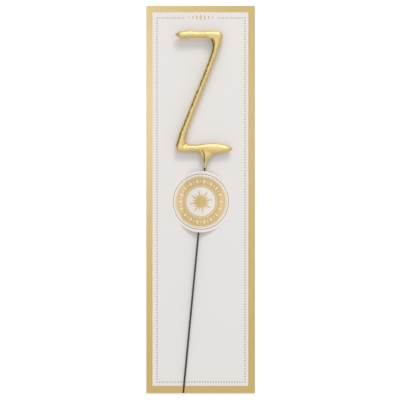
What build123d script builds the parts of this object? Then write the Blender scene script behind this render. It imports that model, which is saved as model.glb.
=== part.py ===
from build123d import *
import math
import os

# A gold letter sparkler strapped to its display card, in millimetres.
# The card lies in the XY plane with its back on Z = 0 and its head towards +Y.
# The stem leans over the card and lifts off it a little, and the letter lies in the stem's plane.

# Display card and the gold foil frame on its front
card_width = 56.0
card_length = 200.0
card_thickness = 0.5
border_left = 3.1
border_right = 3.45
border_head = 3.35
border_foot = 3.8
foil_thickness = 0.02

# Stem wire
wire_diameter = 0.9
stem_length = 127.0  # foot to the middle line of the letter's lower bar
stem_lean = 5.45  # degrees, clockwise from the card's length
stem_rise = 1.0  # degrees that the stem lifts off the card
foot_x = -9.0
foot_margin = 0.1  # the foot stops this far inside the card's lower edge
foot_gap = 0.05  # air between the foot and the foil under it

# Letter, from where the stem meets the middle line of its lower bar
letter_height = 58.4  # lower bar to upper bar, middle to middle
upper_bar_left = 16.3
lower_bar_right = 13.15
upper_corner_right = 5.84
upper_corner_drop = 0.7  # below the upper bar's middle line
upper_corner_radius = 2.65
lower_corner_left = 13.6
lower_corner_lift = 0.47  # above the lower bar's middle line
lower_corner_radius = 2.6
stroke_width = 3.9
stroke_depth = 3.7
corner_depth = 3.9
bar_step = 1.2  # between the sections that a bar is lofted through
diagonal_step = 2.4  # and the diagonal
rim_facets = 6  # round the rim of a corner's knuckle

# Coat along a stroke: share of its length, shift to the left of its heading, swell of its width
upper_bar_coat = (
    (0.0, 0.05, 0.18),
    (0.032, 0.0, 0.45),
    (0.07, -0.12, 0.75),
    (0.12, -0.28, 1.03),
    (0.19, -0.15, 1.13),
    (0.35, 0.1, 1.1),
    (0.54, 0.0, 0.95),
    (0.73, 0.08, 1.03),
    (1.0, -0.2, 1.1),
)
diagonal_coat = (
    (0.0, 0.0, 1.3),
    (0.03, 0.05, 1.42),
    (0.0575, 0.33, 1.35),
    (0.0954, 0.97, 1.02),
    (0.15, 1.13, 0.89),
    (0.25, 0.85, 0.9),
    (0.35, 0.64, 0.89),
    (0.45, 0.28, 0.88),
    (0.55, -0.03, 0.88),
    (0.65, -0.36, 0.89),
    (0.75, -0.57, 0.91),
    (0.81, -0.75, 0.93),
    (0.87, -0.92, 1.0),
    (0.92, -0.78, 1.11),
    (0.955, -0.35, 1.28),
    (1.0, 0.0, 1.28),
)
lower_bar_coat = (
    (0.0, -0.12, 1.0),
    (0.18, -0.17, 1.02),
    (0.35, -0.08, 1.01),
    (0.45, -0.1, 1.2),
    (0.58, -0.25, 1.45),
    (0.73, -0.32, 1.45),
    (0.845, -0.36, 1.15),
    (0.92, -0.38, 0.87),
    (0.968, -0.4, 0.62),
    (1.0, -0.4, 0.26),
)
# Coat down the neck: distance below the lower bar's line, half width, half depth
neck_coat = (
    (0.0, 4.6, 1.55),
    (1.5, 4.5, 1.6),
    (2.5, 4.2, 1.6),
    (3.3, 3.75, 1.6),
    (4.0, 3.25, 1.58),
    (4.7, 2.7, 1.53),
    (5.3, 2.2, 1.43),
    (5.9, 1.72, 1.3),
    (6.6, 1.32, 1.15),
    (7.5, 1.03, 1.0),
    (9.0, 0.78, 0.77),
    (10.5, 0.62, 0.62),
)

# Core wire inside the letter
hairpin_gap = 2.4  # between the wire's two runs in the lower bar
hairpin_right = 10.3
hairpin_drop = 0.3  # the two runs' middle, below the lower bar's line
hairpin_radius = 0.9
stem_bend_radius = 2.0
letter_bend_radius = 1.6
core_overrun = 0.9  # the wire's sharp corners, outside the middles of the coat's corners
core_tip_cover = 2.2  # coat beyond the wire's end in the upper bar
bend_runs = 4  # short straight runs that stand for each bend

# Round paper seal, tented over the stem
seal_diameter = 31.7
seal_paper_thickness = 0.15
seal_below_neck = 1.45  # along the stem, from the neck's end to the seal's edge
seal_side = -0.35  # seal's centre, to the right of the stem
seal_clearance = 0.1  # round the wire
seal_tent_width = 19.0  # between the two lines where the paper lifts off the card
seal_fold_radius = 4.0
ring_outer_diameter = 25.5
ring_inner_diameter = 15.0
ring_foil_thickness = 0.04

os.makedirs("parts", exist_ok=True)

# Values worked out from those above
wire_radius = wire_diameter / 2
card_front = Plane.XY.offset(card_thickness)
foot_y = foot_margin - card_length / 2
foot_height = foil_thickness + foot_gap + wire_radius
stem_foot = Location((foot_x, foot_y, card_thickness + foot_height), (0, 0, -stem_lean))
stem_plane = Plane(stem_foot * Location((0, 0, 0), (stem_rise, 0, 0)))
letter_plane = Plane(stem_plane.location * Location((0, stem_length, 0), (0, 0, stem_lean)))
neck_length = neck_coat[-1][0]
seal_from_foot = stem_length - neck_length - seal_below_neck - seal_diameter / 2


def across_stroke(x, y, heading):
    """Plane across a stroke at a point of the letter: X to the stroke's left, Z along its heading."""
    turn = math.radians(heading)
    along = letter_plane.x_dir * math.cos(turn) + letter_plane.y_dir * math.sin(turn)
    left = letter_plane.y_dir * math.cos(turn) - letter_plane.x_dir * math.sin(turn)
    return Plane(letter_plane.from_local_coords((x, y, 0)), x_dir=left, z_dir=along)


def coat_at(coat, share):
    """Shift and swell of a coat at a share of its stroke, on a smooth curve through its stations."""
    last = len(coat) - 1
    left = max(i for i in range(last) if coat[i][0] <= share)
    step = (share - coat[left][0]) / (coat[left + 1][0] - coat[left][0])
    values = []
    for column in (1, 2):
        slopes = []
        for i in (left, left + 1):
            before = coat[max(i - 1, 0)]
            after = coat[min(i + 1, last)]
            slopes.append((after[column] - before[column]) / (after[0] - before[0]))
        span = coat[left + 1][0] - coat[left][0]
        rise = coat[left + 1][column] - coat[left][column]
        start_pull = slopes[0] * span - rise
        end_pull = rise - slopes[1] * span
        bow = step * (1 - step) * (start_pull * (1 - step) + end_pull * step)
        values.append(coat[left][column] + step * rise + bow)
    return values


def coat_sections(start, end, coat, step):
    """Evenly spaced ellipses of a stroke from start to end."""
    length = math.dist(start, end)
    heading = math.degrees(math.atan2(end[1] - start[1], end[0] - start[0]))
    first = across_stroke(*start, heading)
    count = math.ceil(length / step)
    sections = []
    for i in range(count + 1):
        shift, swell = coat_at(coat, i / count)
        half_width = swell * stroke_width / 2
        half_depth = min(half_width, min(swell, 1) * stroke_depth / 2)
        with BuildSketch(first.offset(length * i / count)) as section:
            with Locations((shift, 0)):
                Ellipse(half_width, half_depth)
        sections.append(section.sketch)
    return sections


def neck_sections():
    """Ellipses of the neck, square to the stem."""
    sections = []
    for below, half_width, half_depth in neck_coat:
        level = stem_plane.from_local_coords((0, stem_length - below, 0))
        with BuildSketch(Plane(level, x_dir=stem_plane.x_dir, z_dir=stem_plane.y_dir)) as section:
            Ellipse(half_width, half_depth)
        sections.append(section.sketch)
    return sections


def corner_profile(x, y, radius):
    """Half section of a corner's knuckle, a disc with a rounded rim."""
    half_depth = corner_depth / 2
    flat = radius - half_depth
    rim = []
    for i in range(rim_facets + 1):
        turn = math.pi * (i / rim_facets - 0.5)
        rim.append((flat + half_depth * math.cos(turn), half_depth * math.sin(turn)))
    upright = Plane(
        letter_plane.from_local_coords((x, y, 0)),
        x_dir=letter_plane.x_dir,
        z_dir=-letter_plane.y_dir,
    )
    with BuildSketch(upright) as profile:
        with BuildLine():
            Polyline((0, -half_depth), *rim, (0, half_depth), close=True)
        make_face()
    return profile.sketch


def tent_points(stem_height, level):
    """Corners of the seal's cross-section at a level above its underside."""
    reach = seal_tent_width / 2
    crown = wire_radius + seal_clearance
    slope = math.atan2(stem_height, reach) + math.asin(crown / math.hypot(stem_height, reach))
    edge = seal_diameter
    fold = reach + level * math.tan(slope / 2)
    ridge = reach * math.tan(slope) + level / math.cos(slope)
    return (-edge, level), (-fold, level), (0, ridge), (fold, level), (edge, level)


def tent_sections(low, high):
    """Cross-section of the seal's sheet between two levels, past its lower and its upper edge."""
    crown = wire_radius + seal_clearance
    sections = []
    for along in (seal_from_foot - seal_diameter, seal_from_foot + seal_diameter):
        on_stem = stem_plane.from_local_coords((0, along, 0))
        stem_height = on_stem.Z - card_thickness
        upright = Plane(
            (on_stem.X, on_stem.Y, card_thickness),
            x_dir=stem_plane.x_dir,
            z_dir=stem_plane.x_dir.cross(Vector(0, 0, 1)),
        )
        with BuildSketch(upright) as section:
            with BuildLine():
                outlines = []
                for level in (low, high):
                    fold = seal_fold_radius - level
                    radii = (fold, crown + level, fold)
                    outlines.append(FilletPolyline(*tent_points(stem_height, level), radius=radii))
                under, over = outlines
                Line(under @ 0, over @ 0)
                Line(under @ 1, over @ 1)
            make_face()
        sections.append(section.sketch)
    return sections


# Display card
with BuildPart() as backing_card:
    with BuildSketch():
        Rectangle(card_width, card_length)
    extrude(amount=card_thickness)

# Gold foil frame, stamped along the card's edges
with BuildPart() as border_foil:
    with BuildSketch(card_front):
        Rectangle(card_width, card_length)
        with Locations(((border_left - border_right) / 2, (border_foot - border_head) / 2)):
            Rectangle(
                card_width - border_left - border_right,
                card_length - border_head - border_foot,
                mode=Mode.SUBTRACT,
            )
    extrude(amount=foil_thickness)

# One wire: up the stem, along the lower bar and back by a hairpin, then through the letter
hairpin_low = -hairpin_drop - hairpin_gap / 2
hairpin_high = -hairpin_drop + hairpin_gap / 2
lean = math.radians(stem_lean)
with BuildLine(letter_plane) as wire_course:
    FilletPolyline(
        (-stem_length * math.sin(lean), -stem_length * math.cos(lean)),
        (hairpin_low * math.tan(lean), hairpin_low),
        (hairpin_right, hairpin_low),
        (hairpin_right, hairpin_high),
        (-lower_corner_left - core_overrun, 0),
        (upper_corner_right + core_overrun, letter_height),
        (core_tip_cover - upper_bar_left, letter_height),
        radius=(
            stem_bend_radius,
            hairpin_radius,
            hairpin_radius,
            letter_bend_radius,
            letter_bend_radius,
        ),
    )
wire_turns = [stem_plane.origin]
for edge in wire_course.wire().order_edges():
    runs = bend_runs if edge.geom_type == GeomType.CIRCLE else 1
    wire_turns += [edge @ (i / runs) for i in range(1, runs + 1)]
with BuildPart() as core_wire:
    with BuildLine() as wire_path:
        Polyline(*wire_turns)
    with BuildSketch(Plane(stem_plane.origin, x_dir=stem_plane.x_dir, z_dir=stem_plane.y_dir)):
        Circle(wire_radius)
    sweep(path=wire_path.wire(), transition=Transition.RIGHT)

# Spark mix dipped and baked round the wire: two bars, the diagonal, the neck and two knuckles
upper_tip = (-upper_bar_left, letter_height)
upper_end = (upper_corner_right, letter_height)
upper_corner = (upper_corner_right, letter_height - upper_corner_drop)
lower_corner = (-lower_corner_left, lower_corner_lift)
lower_end = (-lower_corner_left, 0)
lower_tip = (lower_bar_right, 0)
with BuildPart() as spark_composition:
    loft(coat_sections(upper_tip, upper_end, upper_bar_coat, bar_step), ruled=True)
    loft(coat_sections(upper_corner, lower_corner, diagonal_coat, diagonal_step), ruled=True)
    loft(coat_sections(lower_end, lower_tip, lower_bar_coat, bar_step), ruled=True)
    loft(neck_sections(), ruled=True)
    for corner, radius in (
        (upper_corner, upper_corner_radius),
        (lower_corner, lower_corner_radius),
    ):
        centre = letter_plane.from_local_coords((*corner, 0))
        revolve(corner_profile(*corner, radius), axis=Axis(centre, letter_plane.z_dir))
    add(core_wire.part, mode=Mode.SUBTRACT)

# Seal, its wings flat on the card and its middle tented over the stem
seal_axis = stem_plane.from_local_coords((seal_side, seal_from_foot, 0))
seal_base = Plane((seal_axis.X, seal_axis.Y, 0))
with BuildPart() as seal_paper:
    loft(tent_sections(0, seal_paper_thickness), ruled=True)
    with BuildSketch(seal_base):
        Circle(seal_diameter / 2)
    extrude(amount=seal_diameter, mode=Mode.INTERSECT)

# Foil ring stamped on the seal
with BuildPart() as seal_foil_ring:
    loft(tent_sections(seal_paper_thickness, seal_paper_thickness + ring_foil_thickness), ruled=True)
    with BuildSketch(seal_base):
        Circle(ring_outer_diameter / 2)
        Circle(ring_inner_diameter / 2, mode=Mode.SUBTRACT)
    extrude(amount=seal_diameter, mode=Mode.INTERSECT)

backing_card.part.label = "backing_card"
border_foil.part.label = "border_foil"
core_wire.part.label = "core_wire"
spark_composition.part.label = "spark_composition"
seal_paper.part.label = "seal_paper"
seal_foil_ring.part.label = "seal_foil_ring"

for piece in (
    backing_card,
    border_foil,
    core_wire,
    spark_composition,
    seal_paper,
    seal_foil_ring,
):
    export_step(piece.part, f"parts/{piece.part.label}.step")
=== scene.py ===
import math

import bmesh
import bpy
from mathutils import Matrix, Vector, noise
from mathutils.bvhtree import BVHTree


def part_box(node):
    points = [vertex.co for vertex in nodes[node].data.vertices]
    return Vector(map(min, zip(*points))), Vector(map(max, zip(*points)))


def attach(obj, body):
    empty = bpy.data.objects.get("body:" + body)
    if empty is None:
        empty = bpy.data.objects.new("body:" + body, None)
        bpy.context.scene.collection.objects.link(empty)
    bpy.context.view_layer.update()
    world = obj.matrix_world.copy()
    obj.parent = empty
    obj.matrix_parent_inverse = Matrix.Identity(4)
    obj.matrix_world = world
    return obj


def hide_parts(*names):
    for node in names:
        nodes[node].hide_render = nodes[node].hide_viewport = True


# A gold letter sparkler on its display card, lying flat and seen from straight above.
# Lengths are metres in the CAD frame, and names that end in _MM are millimetres.

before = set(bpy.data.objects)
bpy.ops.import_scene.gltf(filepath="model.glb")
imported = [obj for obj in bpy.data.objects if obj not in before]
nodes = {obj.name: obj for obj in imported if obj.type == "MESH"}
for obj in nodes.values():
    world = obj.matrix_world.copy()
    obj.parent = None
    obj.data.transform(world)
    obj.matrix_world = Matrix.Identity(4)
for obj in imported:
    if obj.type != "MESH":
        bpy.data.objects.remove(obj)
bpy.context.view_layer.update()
MM = 0.001
STEM_LEAN = 5.45  # degrees, clockwise from the card's length
WELD = 1e-6  # points that are nearer than this are one point
FINE_WELD = 1e-7  # the same where print is thin


# Node graphs, for finishes and for pieces that follow a rule


class Value:
    """An output socket that takes part in Python sums."""

    def __init__(self, graph, socket):
        self.graph = graph
        self.socket = socket

    def __add__(self, other):
        return self.graph.maths("ADD", self, other)

    def __radd__(self, other):
        return self.graph.maths("ADD", other, self)

    def __sub__(self, other):
        return self.graph.maths("SUBTRACT", self, other)

    def __rsub__(self, other):
        return self.graph.maths("SUBTRACT", other, self)

    def __mul__(self, other):
        return self.graph.maths("MULTIPLY", self, other)

    def __rmul__(self, other):
        return self.graph.maths("MULTIPLY", other, self)

    def __truediv__(self, other):
        return self.graph.maths("DIVIDE", self, other)

    def __gt__(self, other):
        return self.graph.maths("GREATER_THAN", self, other)

    def __lt__(self, other):
        return self.graph.maths("LESS_THAN", self, other)

    def __mod__(self, other):
        return self.graph.maths("MODULO", self, other)

    def __abs__(self):
        return self.graph.maths("ABSOLUTE", self)


class Graph:
    """A node tree that is written as expressions."""

    def __init__(self, tree):
        self.tree = tree

    def node(self, kind, settings=None, inputs=None, output=0):
        """Adds a node: its settings first, then the values or links of its sockets."""
        made = self.tree.nodes.new(kind)
        for name, value in (settings or {}).items():
            if name == "stops":
                self.set_stops(made.color_ramp.elements, value)
            else:
                setattr(made, name, value)
        for name, value in (inputs or {}).items():
            socket = made.inputs[name]
            for item in value if isinstance(value, list) else [value]:
                if isinstance(item, Value):
                    self.tree.links.new(item.socket, socket)
                else:
                    socket.default_value = item
        return Value(self, made.outputs[output]) if made.outputs else None

    def set_stops(self, elements, stops):
        """Gives a ramp its stops, each a place and a colour."""
        while len(elements) < len(stops):
            elements.new(1.0)
        for element, (place, colour) in zip(elements, stops):
            element.position = place
            element.color = (*colour, 1.0)

    def maths(self, operation, *values):
        """Result of one Math node."""
        return self.node("ShaderNodeMath", {"operation": operation}, dict(enumerate(values)))

    def smooth_step(self, value, low, high):
        """0 below low and 1 above high, with a soft rise between."""
        inputs = {"Value": value, "From Min": low, "From Max": high}
        return self.node("ShaderNodeMapRange", {"interpolation_type": "SMOOTHSTEP"}, inputs)

    def mixed(self, factor, first, second):
        """Colour that goes from first to second as factor goes from 0 to 1."""
        inputs = {0: factor, 6: first, 7: second}
        return self.node("ShaderNodeMix", {"data_type": "RGBA"}, inputs, output=2)

    def place(self):
        """Point of the surface in the CAD frame."""
        return self.node("ShaderNodeTexCoord", output="Object")

    def turned(self, degrees, stretch):
        """Point of the surface, turned about Z and then stretched along each axis."""
        inputs = {
            "Vector": self.place(),
            "Rotation": (0.0, 0.0, math.radians(degrees)),
            "Scale": stretch,
        }
        return self.node("ShaderNodeMapping", {"vector_type": "POINT"}, inputs)

    def grain(self, grains_per_metre, detail=2.0, roughness=0.5, at=None):
        """Noise from 0 to 1."""
        inputs = {
            "Vector": at or self.place(),
            "Scale": grains_per_metre,
            "Detail": detail,
            "Roughness": roughness,
        }
        return self.node("ShaderNodeTexNoise", {}, inputs)

    def bump(self, height, depth):
        """Surface normal for a height from 0 to 1 that stands depth metres tall."""
        inputs = {"Height": height, "Distance": depth, "Strength": 1.0}
        return self.node("ShaderNodeBump", {}, inputs)

    def split(self, vector):
        """X, Y and Z of a vector."""
        made = self.node("ShaderNodeSeparateXYZ", {}, {0: vector})
        return [Value(self, socket) for socket in made.socket.node.outputs]


def finish(name):
    """New material with an empty graph."""
    material = bpy.data.materials.new(name)
    material.use_nodes = True
    material.node_tree.nodes.clear()
    return material, Graph(material.node_tree)


def surface(graph, inputs):
    """Puts a principled surface on a material."""
    shader = graph.node("ShaderNodeBsdfPrincipled", {}, inputs)
    graph.node("ShaderNodeOutputMaterial", {}, {"Surface": shader})


# Finishes


def board_finish():
    """Uncoated off-white board, a little whiter along its cut edge."""
    material, g = finish("uncoated_board")
    along = g.turned(12.0, (1.0, 0.35, 1.0))
    across = g.turned(-55.0, (1.0, 0.3, 1.0))
    fibres = g.grain(2600.0, detail=4.0, roughness=0.62, at=along)
    cross_fibres = g.grain(3400.0, detail=3.0, roughness=0.55, at=across)
    clouds = g.grain(160.0)
    up = g.split(g.node("ShaderNodeNewGeometry", output="Normal"))[2]
    cut = 1 - g.smooth_step(abs(up), 0.3, 0.7)
    tone = fibres * 0.5 + cross_fibres * 0.3 + clouds * 0.2
    face = g.mixed(tone, (0.772, 0.745, 0.71, 1.0), (0.832, 0.805, 0.775, 1.0))
    surface(g, {
        "Base Color": g.mixed(cut, face, (0.82, 0.805, 0.78, 1.0)),
        "Roughness": 0.72 + fibres * 0.16,
        "Specular IOR Level": 0.35,
        "Normal": g.bump(fibres * 0.6 + cross_fibres * 0.4, depth=0.00003),
    })
    return material


def sticker_paper_finish():
    """White satin sticker paper."""
    material, g = finish("satin_sticker_paper")
    fibres = g.grain(5200.0, detail=3.0, roughness=0.55)
    clouds = g.grain(240.0)
    tone = fibres * 0.5 + clouds * 0.5
    surface(g, {
        "Base Color": g.mixed(tone, (0.807, 0.752, 0.68, 1.0), (0.862, 0.812, 0.745, 1.0)),
        "Roughness": 0.42 + fibres * 0.14,
        "Normal": g.bump(fibres, depth=0.000012),
    })
    return material


def foil_finish(name, pale, deep, dullness):
    """Hot-stamped gold foil, pebbled by the paper under it, with a few hair scratches."""
    material, g = finish(name)
    pebble = g.grain(1900.0, detail=3.0, roughness=0.55)
    waves = g.grain(130.0)
    scratches = g.grain(900.0, at=g.turned(24.0, (1.0, 0.02, 1.0)))
    scratch = g.smooth_step(scratches, 0.66, 0.74)
    tone = waves * 0.7 + pebble * 0.3
    surface(g, {
        "Base Color": g.mixed(tone, deep, pale),
        "Metallic": 1.0,
        "Roughness": dullness + pebble * 0.1 + scratch * 0.12,
        "Coat Weight": 0.9,
        "Coat Roughness": 0.2,
        "Normal": g.bump(pebble * 0.7 + waves * 0.3, depth=0.00001),
    })
    return material


def wire_finish():
    """Dark drawn steel with lengthwise die marks and dull patches of scale."""
    material, g = finish("drawn_steel_wire")
    along_stem = g.turned(STEM_LEAN, (1.0, 0.012, 1.0))
    marks = g.grain(14000.0, detail=3.0, roughness=0.6, at=along_stem)
    scale = g.smooth_step(g.grain(700.0, detail=3.0, roughness=0.6), 0.45, 0.62)
    steel = g.mixed(marks, (0.05, 0.044, 0.037, 1.0), (0.115, 0.103, 0.09, 1.0))
    surface(g, {
        "Base Color": g.mixed(scale, steel, (0.045, 0.037, 0.03, 1.0)),
        "Metallic": 0.9 - scale * 0.35,
        "Roughness": 0.3 + marks * 0.14 + scale * 0.2,
        "Normal": g.bump(marks, depth=0.000012),
    })
    return material


def gold_paint_finish():
    """Metallic gold paint on grainy mix, drawn dark olive along marked lines: worn paint, partly
    painted shade.
    """
    material, g = finish("gold_painted_mix")
    # The mark on the mesh for the dark lines and patches: worn paint and painted shade.
    wear_and_shade_mark = g.node("ShaderNodeAttribute", {"attribute_name": "thin_paint"}, output="Fac")
    grit = g.grain(2300.0, detail=4.0, roughness=0.6)
    specks = g.grain(1300.0, detail=3.0, roughness=0.65)
    clouds = g.grain(210.0)
    flakes = g.smooth_step(g.grain(1000.0, roughness=0.6), 0.4, 0.64)
    # Dark where the mesh is marked, broken by specks: worn paint and painted shade.
    bare_and_shade = g.smooth_step(wear_and_shade_mark + (specks - 0.5) * 1.1, 0.4, 0.8)
    pinholes = g.smooth_step(g.grain(1500.0), 0.64, 0.74)
    worn_and_shade = g.maths("MAXIMUM", bare_and_shade, pinholes * 0.35)
    dull_gold = g.mixed(clouds, (0.745, 0.53, 0.172, 1.0), (0.80, 0.59, 0.22, 1.0))
    gold = g.mixed(flakes, dull_gold, (0.83, 0.645, 0.295, 1.0))
    surface(g, {
        # Dark olive for worn paint and for painted shade.
        "Base Color": g.mixed(worn_and_shade, gold, (0.25, 0.175, 0.03, 1.0)),
        "Metallic": 1.0 - worn_and_shade * 0.6,
        "Roughness": 0.48 - flakes * 0.06 + grit * 0.06 + worn_and_shade * 0.2,
        "Coat Weight": 0.9 - worn_and_shade * 0.8,
        "Coat Roughness": 0.42,
        "Normal": g.bump(grit * 0.5 + specks * 0.5, depth=0.000035),
    })
    return material


def floor_finish():
    """White floor that shows white to the camera and to shiny metal, and keeps the shadows."""
    material, g = finish("white_floor")
    path = g.node("ShaderNodeLightPath").socket.node.outputs
    seen = g.maths("MAXIMUM", Value(g, path["Is Camera Ray"]), Value(g, path["Is Glossy Ray"]))
    seen = g.maths("MAXIMUM", seen, Value(g, path["Is Transmission Ray"]))
    matt = g.node("ShaderNodeBsdfDiffuse", {}, {"Color": (0.8, 0.8, 0.8, 1.0)})
    inputs = {"Color": (1.0, 1.0, 1.0, 1.0), "Strength": seen * 0.3}
    glow = g.node("ShaderNodeEmission", {}, inputs)
    both = g.node("ShaderNodeAddShader", {}, {0: matt, 1: glow})
    g.node("ShaderNodeOutputMaterial", {}, {"Surface": both})
    return material


# Putting pieces in the scene


def show(name, mesh, material):
    """Puts a mesh in the scene under a name, with one material."""
    piece = bpy.data.objects.new(name, mesh)
    bpy.context.scene.collection.objects.link(piece)
    piece.data.materials.clear()
    piece.data.materials.append(material)
    return piece


def settled(piece):
    """Works a piece's modifiers into its mesh, and returns that mesh."""
    graph = bpy.context.evaluated_depsgraph_get()
    graph.update()
    mesh = bpy.data.meshes.new_from_object(piece.evaluated_get(graph))
    piece.modifiers.clear()
    piece.data = mesh
    return mesh


# The letter

# Where the letter is drawn dark, partly worn paint and partly painted shade: lines on the card,
# each with its width first
WORN_AND_SHADED_LINES_MM = (
    # down the diagonal's left flank: a worn seam, partly painted shade
    (0.65, (
        (6.4, 79.0), (6.1, 75.9), (4.25, 70.4), (1.75, 63.8), (-1.05, 57.0), (-3.85, 50.2),
        (-6.75, 43.1), (-8.85, 37.7), (-10.45, 33.6), (-11.65, 30.0), (-12.3, 27.6),
    )),
    # in the upper inner corner: painted shade
    (1.0, ((6.0, 82.4), (6.4, 80.6), (6.4, 78.0))),
    # down the neck's left side: a worn groove, partly painted shade
    (0.5, ((0.6, 25.4), (1.7, 23.6), (2.0, 21.0), (1.9, 18.6))),
    # under the upper-left tip: painted shade on bare mix
    (0.5, ((-13.0, 84.5), (-12.5, 83.9))),
)

# Inner corners that the mix rounds off: a place on the card, the fill's reach and its height
CORNER_FILLS_MM = (
    ((5.4, 82.8), 1.7, 0.9),
    ((-7.6, 28.6), 1.2, 0.4),
)

CHANNEL_MM = 0.03  # points of the mix this near to the wire are on its channel
VOXEL_MM = 0.17  # of the letter's even mesh
BAND_ROUNDS = 10  # of smoothing, which take away the bands of the CAD form
FILL_ROUNDS = 8  # of smoothing, which work in the corner fills

# The surface of the mix: how many lumps, grains and grits there are to a millimetre, how tall
# they are, how far the surface is set back to make room for them, and how deep the coat is sunk
# along its lines of worn paint and painted shade
LUMPS_PER_MM = 0.35
GRAINS_PER_MM = 0.9
GRITS_PER_MM = 1.7
LUMP_MM = 0.1
GRAIN_MM = 0.05
GRIT_MM = 0.025
SET_BACK_MM = 0.08
WEAR_MM = 0.06
GRAIN_START = Vector((40.0, 0.0, 0.0))  # parts of the noise that don't repeat the lumps
GRIT_START = Vector((0.0, 70.0, 0.0))


def wear_and_shade_at(point, upward):
    """How dark the paint is drawn at a point in millimetres, from 0 to 1, for worn paint and
    painted shade.
    """
    most = 0.0
    for width, line in WORN_AND_SHADED_LINES_MM:
        for start, end in zip(line, line[1:]):
            run = Vector(end) - Vector(start)
            away = point.xy - Vector(start)
            share = min(max(away.dot(run) / run.length_squared, 0.0), 1.0)
            distance = (away - run * share).length
            most = max(most, math.exp(-((distance / width) ** 2)))
    faces_up = min(max(upward * 3.0, 0.0), 1.0)
    return most * faces_up


def corner_fill(point):
    """How many millimetres of mix fill an inner corner at a point in millimetres."""
    fill = 0.0
    for place, reach, height in CORNER_FILLS_MM:
        distance = (point.xy - Vector(place)).length
        fill += height * math.exp(-((distance / reach) ** 2))
    return fill


def letter_outside():
    """Closed mesh of the letter's outside, with the wire's channel taken away."""
    outside = bmesh.new()
    outside.from_mesh(nodes["spark_composition"].data)
    bmesh.ops.remove_doubles(outside, verts=outside.verts, dist=WELD)
    wire = BVHTree.FromPolygons(
        [v.co for v in nodes["core_wire"].data.vertices],
        [p.vertices for p in nodes["core_wire"].data.polygons],
    )
    on_wire = {v for v in outside.verts if wire.find_nearest(v.co)[3] < CHANNEL_MM * MM}
    channel = [f for f in outside.faces if all(v in on_wire for v in f.verts)]
    bmesh.ops.delete(outside, geom=channel, context="FACES")
    rim = [e for e in outside.edges if e.is_boundary]
    bmesh.ops.holes_fill(outside, edges=rim)
    bmesh.ops.triangulate(outside, faces=outside.faces)
    mesh = bpy.data.meshes.new("letter_outside")
    outside.to_mesh(mesh)
    outside.free()
    return mesh


def evened(piece, rounds):
    """Gives a closed piece an even mesh with no folds, smooths it, and returns that mesh."""
    remesh = piece.modifiers.new("even_mesh", "REMESH")
    remesh.mode = "VOXEL"
    remesh.voxel_size = VOXEL_MM * MM
    smooth = piece.modifiers.new("smooth_bands", "SMOOTH")
    smooth.factor = 0.5
    smooth.iterations = rounds
    return settled(piece)


def letter_coat(material):
    """The letter's painted coat: the CAD form, smoothed, its inner corners filled, with grain."""
    coat = show("letter_coat", letter_outside(), material)
    mesh = evened(coat, BAND_ROUNDS)
    normals = [v.normal.copy() for v in mesh.vertices]
    for vertex, normal in zip(mesh.vertices, normals):
        sideways = normal.xy.length
        vertex.co += normal * (corner_fill(vertex.co / MM) * sideways * MM)
    mesh = evened(coat, FILL_ROUNDS)
    # Marks where the coat is drawn dark: worn paint and painted shade.
    wear_and_shade_mark = mesh.attributes.new("thin_paint", "FLOAT", "POINT")
    normals = [v.normal.copy() for v in mesh.vertices]
    for vertex, normal in zip(mesh.vertices, normals):
        point = vertex.co / MM
        lumps = noise.noise(point * LUMPS_PER_MM)
        grains = noise.noise(point * GRAINS_PER_MM + GRAIN_START)
        grits = noise.noise(point * GRITS_PER_MM + GRIT_START)
        patches = min(max(0.95 + 0.9 * grains, 0.65), 1.0)
        # how dark the paint is drawn here, for worn paint and painted shade
        bare_and_shade = wear_and_shade_at(point, normal.z) * patches
        wear_and_shade_mark.data[vertex.index].value = bare_and_shade
        height = LUMP_MM * lumps + GRAIN_MM * grains + GRIT_MM * grits
        height -= SET_BACK_MM + WEAR_MM * bare_and_shade
        vertex.co += normal * (height * MM)
    mesh.shade_smooth()
    return coat


# Geometry graphs for the print on the card and on the seal


def geometry_graph(name, inputs):
    """New geometry graph with named inputs, and the values of those inputs by name."""
    tree = bpy.data.node_groups.new(name, "GeometryNodeTree")
    for label, kind in inputs.items():
        tree.interface.new_socket(label, in_out="INPUT", socket_type=kind)
    tree.interface.new_socket("Geometry", in_out="OUTPUT", socket_type="NodeSocketGeometry")
    graph = Graph(tree)
    given = graph.node("NodeGroupInput").socket.node.outputs
    return graph, {label: Value(graph, given[label]) for label in inputs}


def close_graph(graph, geometry, material):
    """Ends a geometry graph with plain geometry of one material."""
    plain = graph.node("GeometryNodeRealizeInstances", {}, {"Geometry": geometry})
    inputs = {"Geometry": plain, "Material": material}
    painted = graph.node("GeometryNodeSetMaterial", {}, inputs)
    graph.node("NodeGroupOutput", {}, {"Geometry": painted})


def grown(name, graph, values):
    """Runs a geometry graph with values for its inputs, and keeps the result as a plain mesh."""
    piece = bpy.data.objects.new(name, bpy.data.meshes.new(name))
    bpy.context.scene.collection.objects.link(piece)
    modifier = piece.modifiers.new(name, "NODES")
    modifier.node_group = graph.tree
    for item in graph.tree.interface.items_tree:
        if item.in_out == "INPUT":
            modifier[item.identifier] = values[item.name]
    settled(piece)
    return piece


def moved(graph, geometry, step):
    """Geometry moved by a step."""
    inputs = {"Geometry": geometry, "Translation": step}
    return graph.node("GeometryNodeTransform", {}, inputs)


def welded(graph, geometry, distance):
    """Geometry with its meeting points made one."""
    inputs = {"Geometry": geometry, "Distance": distance}
    return graph.node("GeometryNodeMergeByDistance", {}, inputs)


def thickened(graph, sheet, thickness):
    """Closed plate that stands on a flat or draped sheet."""
    raised = graph.node("GeometryNodeExtrudeMesh", {}, {
        "Mesh": sheet,
        "Offset": (0.0, 0.0, 1.0),
        "Offset Scale": thickness,
        "Individual": False,
    })
    underside = graph.node("GeometryNodeFlipFaces", {}, {"Mesh": sheet})
    both = graph.node("GeometryNodeJoinGeometry", {}, {"Geometry": [raised, underside]})
    return welded(graph, both, FINE_WELD)


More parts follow.
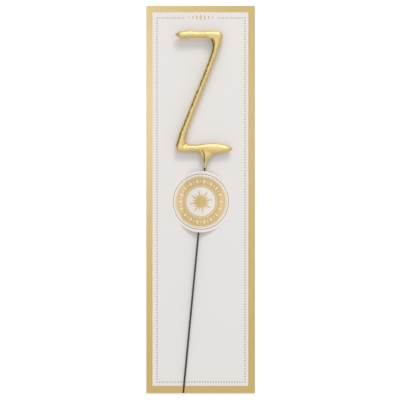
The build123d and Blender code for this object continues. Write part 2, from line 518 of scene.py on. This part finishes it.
def draped(graph, sheet, carrier, lift):
    """Sheet dropped on the carrier's surface, a little above it."""
    landing = graph.node("GeometryNodeRaycast", {}, {
        "Target Geometry": graph.node(
            "GeometryNodeObjectInfo", {}, {"Object": carrier}, "Geometry"
        ),
        "Source Position": graph.node("GeometryNodeInputPosition"),
        "Ray Direction": (0.0, 0.0, -1.0),
        "Ray Length": 1.0,
    }, "Hit Position")
    over = graph.node("ShaderNodeCombineXYZ", {}, {"Z": lift})
    resting = graph.node("ShaderNodeVectorMath", {"operation": "ADD"}, {0: landing, 1: over})
    return graph.node("GeometryNodeSetPosition", {}, {"Geometry": sheet, "Position": resting})


# Inputs of every print that is draped on the seal
SEAL_PRINT_INPUTS = {
    "Centre": "NodeSocketVector",
    "Carrier": "NodeSocketObject",
    "Lift": "NodeSocketFloat",
    "Thickness": "NodeSocketFloat",
    "Print": "NodeSocketMaterial",
}


def close_seal_print(graph, given, sheet):
    """Ends a geometry graph with a sheet moved over the seal, draped on it and thickened."""
    sheet = moved(graph, sheet, given["Centre"])
    sheet = draped(graph, sheet, given["Carrier"], given["Lift"])
    close_graph(graph, thickened(graph, sheet, given["Thickness"]), given["Print"])


def bent_round(graph, strip, radius, turn):
    """Strip with each point put at a radius and a turn about the origin."""
    shaped = graph.node("ShaderNodeCombineXYZ", {}, {
        "X": radius * graph.maths("COSINE", turn),
        "Y": radius * graph.maths("SINE", turn),
    })
    return graph.node("GeometryNodeSetPosition", {}, {"Geometry": strip, "Position": shaped})


def dot_line_graph():
    """Dots evenly along a rectangle, left out at the middle of its head."""
    g, given = geometry_graph("dot_line", {
        "Width": "NodeSocketFloat",
        "Length": "NodeSocketFloat",
        "Centre": "NodeSocketVector",
        "Dots": "NodeSocketInt",
        "Dot Radius": "NodeSocketFloat",
        "Thickness": "NodeSocketFloat",
        "Head Gap": "NodeSocketFloat",
        "Foil": "NodeSocketMaterial",
    })
    inputs = {"Width": given["Width"], "Height": given["Length"]}
    line = g.node("GeometryNodeCurvePrimitiveQuadrilateral", {"mode": "RECTANGLE"}, inputs)
    inputs = {"Curve": line, "Count": given["Dots"]}
    line = g.node("GeometryNodeResampleCurve", {"mode": "COUNT"}, inputs)
    points = g.node("GeometryNodeCurveToPoints", {"mode": "EVALUATED"}, {"Curve": line})
    x, y, _ = g.split(g.node("GeometryNodeInputPosition"))
    in_gap = (abs(x) < given["Head Gap"] / 2) * (y > 0.0)
    inputs = {"Geometry": points, "Selection": in_gap}
    points = g.node("GeometryNodeDeleteGeometry", {"domain": "POINT"}, inputs)
    inputs = {"Vertices": 12, "Radius": given["Dot Radius"]}
    disc = g.node("GeometryNodeMeshCircle", {"fill_type": "NGON"}, inputs)
    dot = thickened(g, disc, given["Thickness"])
    dots = g.node("GeometryNodeInstanceOnPoints", {}, {"Points": points, "Instance": dot})
    close_graph(g, moved(g, dots, given["Centre"]), given["Foil"])
    return g


def lozenge_sheet(graph, half_length, half_width):
    """Flat lozenge with its length along X and blunt ends, cut finely enough to be draped."""
    flat = graph.node("GeometryNodeMeshGrid", {}, {
        "Size X": 2.0, "Size Y": 2.0, "Vertices X": 25, "Vertices Y": 5,
    })
    x, y, _ = graph.split(graph.node("GeometryNodeInputPosition"))
    taper = 1 - abs(x) * 0.98
    inputs = {"X": x * half_length, "Y": y * taper * half_width}
    shaped = graph.node("ShaderNodeCombineXYZ", {}, inputs)
    return graph.node("GeometryNodeSetPosition", {}, {"Geometry": flat, "Position": shaped})


def lozenges_at(graph, points, given, rotation, size):
    """Lozenges at points, as plain geometry."""
    many = graph.node("GeometryNodeInstanceOnPoints", {}, {
        "Points": points,
        "Instance": lozenge_sheet(graph, given["Half Length"], given["Half Width"]),
        "Rotation": rotation,
        "Scale": size,
    })
    return graph.node("GeometryNodeRealizeInstances", {}, {"Geometry": many})


def lozenge_row_graph():
    """Upright lozenges in a row along X, smaller towards its ends."""
    g, given = geometry_graph("lozenge_row", {
        "Count": "NodeSocketInt",
        "Pitch": "NodeSocketFloat",
        "Half Length": "NodeSocketFloat",
        "Half Width": "NodeSocketFloat",
        "End Size": "NodeSocketFloat",
        "Centre": "NodeSocketVector",
        "Thickness": "NodeSocketFloat",
        "Foil": "NodeSocketMaterial",
    })
    half_row = (given["Count"] - 1) * given["Pitch"] / 2
    start = g.node("ShaderNodeCombineXYZ", {}, {"X": 0 - half_row})
    step = g.node("ShaderNodeCombineXYZ", {}, {"X": given["Pitch"]})
    inputs = {"Count": given["Count"], "Start Location": start, "Offset": step}
    points = g.node("GeometryNodeMeshLine", {}, inputs)
    x, _, _ = g.split(g.node("GeometryNodeInputPosition"))
    size = 1 - (1 - given["End Size"]) * abs(x) / half_row
    upright = (0.0, 0.0, math.pi / 2)
    row = moved(g, lozenges_at(g, points, given, upright, size), given["Centre"])
    close_graph(g, thickened(g, row, given["Thickness"]), given["Foil"])
    return g


def lozenge_ring_graph():
    """Lozenges evenly round a circle, each pointing outwards, and every second one smaller."""
    g, given = geometry_graph("lozenge_ring", {
        "Count": "NodeSocketInt",
        "Radius": "NodeSocketFloat",
        "Half Length": "NodeSocketFloat",
        "Half Width": "NodeSocketFloat",
        "Second Size": "NodeSocketFloat",
        **SEAL_PRINT_INPUTS,
    })
    inputs = {"Vertices": given["Count"], "Radius": given["Radius"]}
    circle = g.node("GeometryNodeMeshCircle", {"fill_type": "NONE"}, inputs)
    second = g.node("GeometryNodeInputIndex") % 2
    size = 1 - second * (1 - given["Second Size"])
    inputs = {"Vector": g.node("GeometryNodeInputPosition")}
    outwards = g.node("FunctionNodeAlignRotationToVector", {"axis": "X"}, inputs)
    close_seal_print(g, given, lozenges_at(g, circle, given, outwards, size))
    return g


def printed_ring_graph():
    """A thin ring of print."""
    g, given = geometry_graph("printed_ring", {
        "Radius": "NodeSocketFloat",
        "Width": "NodeSocketFloat",
        **SEAL_PRINT_INPUTS,
    })
    flat = g.node("GeometryNodeMeshGrid", {}, {
        "Size X": math.tau, "Size Y": 1.0, "Vertices X": 361, "Vertices Y": 3,
    })
    turn, across, _ = g.split(g.node("GeometryNodeInputPosition"))
    radius = given["Radius"] - across * given["Width"]
    ring = bent_round(g, flat, radius, turn)
    close_seal_print(g, given, welded(g, ring, FINE_WELD))
    return g


def burst_graph():
    """A round burst of rays from a solid middle, long and short by turns."""
    g, given = geometry_graph("burst", {
        "Rays": "NodeSocketInt",
        "Middle": "NodeSocketFloat",
        "Long Reach": "NodeSocketFloat",
        "Short Reach": "NodeSocketFloat",
        **SEAL_PRINT_INPUTS,
    })
    flat = g.node("GeometryNodeMeshGrid", {}, {
        "Size X": 1.0, "Size Y": 1.0, "Vertices X": 193, "Vertices Y": 17,
    })
    x, y, _ = g.split(g.node("GeometryNodeInputPosition"))
    nudge = 0.001  # keeps the first point of a ray from falling back into the ray before it
    ray = (x + 0.5) * given["Rays"] + nudge
    short = g.maths("FLOOR", ray) % 2
    reach = given["Long Reach"] - short * (given["Long Reach"] - given["Short Reach"])
    flank = abs(g.maths("FRACT", ray) * 2 - 1)
    point = g.maths("POWER", 1 - flank, 1.4)
    outline = given["Middle"] + (reach - given["Middle"]) * point
    burst = bent_round(g, flat, (0.5 - y) * outline, x * math.tau)
    close_seal_print(g, given, welded(g, burst, WELD))
    return g


# Finishes on the CAD nodes that are kept

board = board_finish()
card_foil = foil_finish(
    "card_edge_foil",
    pale=(0.645, 0.455, 0.165, 1.0),
    deep=(0.605, 0.415, 0.13, 1.0),
    dullness=0.24,
)
fine_foil = foil_finish(
    "fine_line_foil",
    pale=(0.45, 0.305, 0.10, 1.0),
    deep=(0.40, 0.265, 0.08, 1.0),
    dullness=0.4,
)
seal_foil = foil_finish(
    "seal_foil",
    pale=(0.765, 0.565, 0.245, 1.0),
    deep=(0.725, 0.52, 0.205, 1.0),
    dullness=0.48,
)
sticker_paper = sticker_paper_finish()
steel = wire_finish()
gold_paint = gold_paint_finish()

for node_name, material in (
    ("backing_card", board),
    ("border_foil", card_foil),
    ("seal_paper", sticker_paper),
    ("seal_foil_ring", seal_foil),
    ("core_wire", steel),
):
    nodes[node_name].data.materials.clear()
    nodes[node_name].data.materials.append(material)

# The letter in its painted coat

letter = letter_coat(gold_paint)
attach(letter, "sparkler")
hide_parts("spark_composition")

# Print on the card: the dotted frame line, and a row of lozenges in its gap

card_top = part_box("backing_card")[1].z
frame_dots = grown("frame_dots", dot_line_graph(), {
    "Width": 45.45 * MM,
    "Length": 188.0 * MM,
    "Centre": Vector((0.155 * MM, -0.26 * MM, card_top)),
    "Dots": 338,
    "Dot Radius": 0.33 * MM,
    "Thickness": 0.02 * MM,
    "Head Gap": 17.0 * MM,
    "Foil": fine_foil,
})
head_lozenges = grown("head_lozenges", lozenge_row_graph(), {
    "Count": 7,
    "Pitch": 2.05 * MM,
    "Half Length": 1.7 * MM,
    "Half Width": 0.75 * MM,
    "End Size": 0.45,
    "Centre": Vector((0.0, 94.0 * MM, card_top)),
    "Thickness": 0.02 * MM,
    "Foil": card_foil,
})
for piece in (frame_dots, head_lozenges):
    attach(piece, "card")

# Print on the seal: three lines, a ring of lozenges and a burst, all dropped on it from above

DROP_HEIGHT = 0.02
seal_low, seal_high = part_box("seal_paper")
over_seal = Vector((
    (seal_low.x + seal_high.x) / 2,
    (seal_low.y + seal_high.y) / 2,
    DROP_HEIGHT,
))
on_paper = {
    "Centre": over_seal,
    "Carrier": nodes["seal_paper"],
    "Lift": 0.012 * MM,
    "Thickness": 0.02 * MM,
    "Print": seal_foil,
}
on_foil = {
    "Centre": over_seal,
    "Carrier": nodes["seal_foil_ring"],
    "Lift": 0.012 * MM,
    "Thickness": 0.015 * MM,
    "Print": sticker_paper,
}
printed_ring = printed_ring_graph()
seal_rim_line = grown("seal_rim_line", printed_ring, {
    "Radius": 14.25 * MM,
    "Width": 0.3 * MM,
    **on_paper,
    "Print": fine_foil,
})
seal_outer_line = grown("seal_outer_line", printed_ring, {
    "Radius": 13.15 * MM,
    "Width": 0.22 * MM,
    **on_paper,
})
seal_inner_line = grown("seal_inner_line", printed_ring, {
    "Radius": 8.2 * MM,
    "Width": 0.22 * MM,
    **on_foil,
})
seal_band_lozenges = grown("seal_band_lozenges", lozenge_ring_graph(), {
    "Count": 36,
    "Radius": 10.5 * MM,
    "Half Length": 1.1 * MM,
    "Half Width": 0.5 * MM,
    "Second Size": 0.55,
    **on_foil,
})
seal_burst = grown("seal_burst", burst_graph(), {
    "Rays": 16,
    "Middle": 2.6 * MM,
    "Long Reach": 6.3 * MM,
    "Short Reach": 4.6 * MM,
    **on_paper,
})
for piece, slot in (
    (seal_rim_line, "seal_foil"),
    (seal_outer_line, "seal_foil"),
    (seal_inner_line, "seal"),
    (seal_band_lozenges, "seal"),
    (seal_burst, "seal_foil"),
):
    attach(piece, "card")

# Floor, light and camera

scene = bpy.context.scene
scene.view_settings.view_transform = "Standard"

HALF_FLOOR = 3.0
FLOOR_DROP = 0.0003  # keeps the floor clear of the card's back
floor_mesh = bpy.data.meshes.new("floor")
floor_mesh.from_pydata(
    [
        (x * HALF_FLOOR, y * HALF_FLOOR, -FLOOR_DROP)
        for x, y in ((-1, -1), (1, -1), (1, 1), (-1, 1))
    ],
    [],
    [(0, 1, 2, 3)],
)
show("floor", floor_mesh, floor_finish())


def studio_world():
    """Grey room, pale overhead, dim at the left and lit a little from the card's foot."""
    world = bpy.data.worlds.new("studio")
    world.use_nodes = True
    world.node_tree.nodes.clear()
    g = Graph(world.node_tree)
    across, along, height = g.split(g.node("ShaderNodeTexCoord", output="Generated"))
    room = g.node("ShaderNodeValToRGB", {"stops": (
        (0.0, (0.24, 0.24, 0.24)),
        (0.8, (0.88, 0.88, 0.87)),
        (1.0, (0.92, 0.92, 0.91)),
    )}, {"Fac": height})
    dim_left = g.smooth_step(0 - across, 0.6, 0.95) * 0.6
    room = g.mixed(dim_left, room, (0.05, 0.05, 0.05, 1.0))
    foot_glow = g.smooth_step(0 - along, 0.45, 0.85) * 0.5
    room = g.mixed(foot_glow, room, (0.9, 0.9, 0.89, 1.0))
    backdrop = g.node("ShaderNodeBackground", {}, {"Color": room, "Strength": 1.0})
    g.node("ShaderNodeOutputWorld", {}, {"Surface": backdrop})
    return world


def soft_box(name, place, target, width, length, power, colour):
    """Rectangular lamp at a place, turned to a target."""
    lamp = bpy.data.lights.new(name, "AREA")
    lamp.shape = "RECTANGLE"
    lamp.size = width
    lamp.size_y = length
    lamp.energy = power
    lamp.color = colour
    holder = bpy.data.objects.new(name, lamp)
    scene.collection.objects.link(holder)
    holder.location = place
    aim = Vector(target) - Vector(place)
    holder.rotation_euler = aim.to_track_quat("-Z", "Y").to_euler()


scene.world = studio_world()
soft_box(
    "head_light",
    place=(0.3, 1.447, 1.1),
    target=(0.0, 0.02, 0.0),
    width=0.8,
    length=0.5,
    power=12.5,
    colour=(1.0, 1.0, 1.0),
)
soft_box(
    "over_light",
    place=(-0.115, 0.1, 0.75),
    target=(-0.02, 0.0, 0.0),
    width=0.14,
    length=0.2,
    power=0.16,
    colour=(0.75, 1.0, 2.0),
)

PHOTO_PIXELS = 400
PIXEL = 200.0 * MM / 387.2  # the card's length over its pixels in the photograph
CAMERA_HEIGHT = 1.2
CAMERA_ACROSS = -0.7 * PIXEL  # from the card's middle
CAMERA_ALONG = -0.5 * PIXEL
lens = bpy.data.cameras.new("camera")
lens.sensor_width = 36.0
lens.lens = lens.sensor_width * CAMERA_HEIGHT / (PHOTO_PIXELS * PIXEL)
camera = bpy.data.objects.new("camera", lens)
scene.collection.objects.link(camera)
camera.location = (CAMERA_ACROSS, CAMERA_ALONG, CAMERA_HEIGHT)
scene.camera = camera
